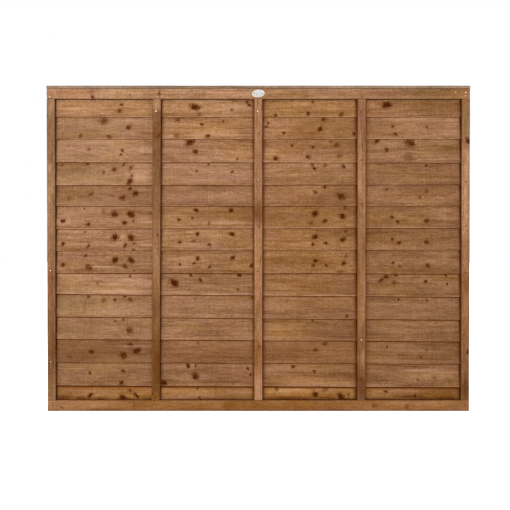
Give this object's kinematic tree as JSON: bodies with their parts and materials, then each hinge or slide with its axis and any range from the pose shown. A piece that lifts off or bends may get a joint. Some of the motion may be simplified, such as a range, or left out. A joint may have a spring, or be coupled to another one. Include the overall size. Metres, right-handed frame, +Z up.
{
  "type": "lap fence panel",
  "caption": "Wooden fence panel of thin boards lapped one over the next, held between uprights and rails on both faces and closed by a capping strip.",
  "frame": {"origin": "middle of the bottom edge, midway between the front and back faces, on the surface that the panel stands on", "axes": "+X along the width, to the right seen from the front; +Y from the front, where the boards' lower edges show, to the back; +Z up"},
  "size_m": [1.83, 0.05, 1.41],
  "materials": {
    "lap_boards": "rough sawn treated softwood, reddish brown, with knots",
    "battens": "rough sawn treated softwood, brown",
    "rails": "rough sawn treated softwood, golden brown",
    "capping": "rough sawn treated softwood, greyish green brown",
    "nails": "galvanised steel, slightly dulled",
    "tag": "white plastic with a pale blue-grey field",
    "tacks": "blued steel"
  },
  "bodies": {
    "root": {"board_01": "lap_boards", "board_02": "lap_boards", "board_03": "lap_boards", "board_04": "lap_boards", "board_05": "lap_boards", "board_06": "lap_boards", "board_07": "lap_boards", "board_08": "lap_boards", "board_09": "lap_boards", "board_10": "lap_boards", "board_11": "lap_boards", "board_12": "lap_boards", "board_13": "lap_boards", "board_14": "lap_boards", "left_stile_front": "battens", "left_stile_back": "battens", "left_stile_nails": "nails", "left_batten_front": "battens", "left_batten_back": "battens", "left_batten_nails": "nails", "centre_batten_front": "battens", "centre_batten_back": "battens", "centre_batten_nails": "nails", "right_batten_front": "battens", "right_batten_back": "battens", "right_batten_nails": "nails", "right_stile_front": "battens", "right_stile_back": "battens", "right_stile_nails": "nails", "top_rail_front": "rails", "top_rail_back": "rails", "top_rail_nails": "nails", "bottom_rail_front": "rails", "bottom_rail_back": "rails", "bottom_rail_nails": "nails", "capping_strip": "capping", "capping_nails": "nails", "oval_tag": "tag", "tag_tacks": "tacks"}
  },
  "joints": []
}
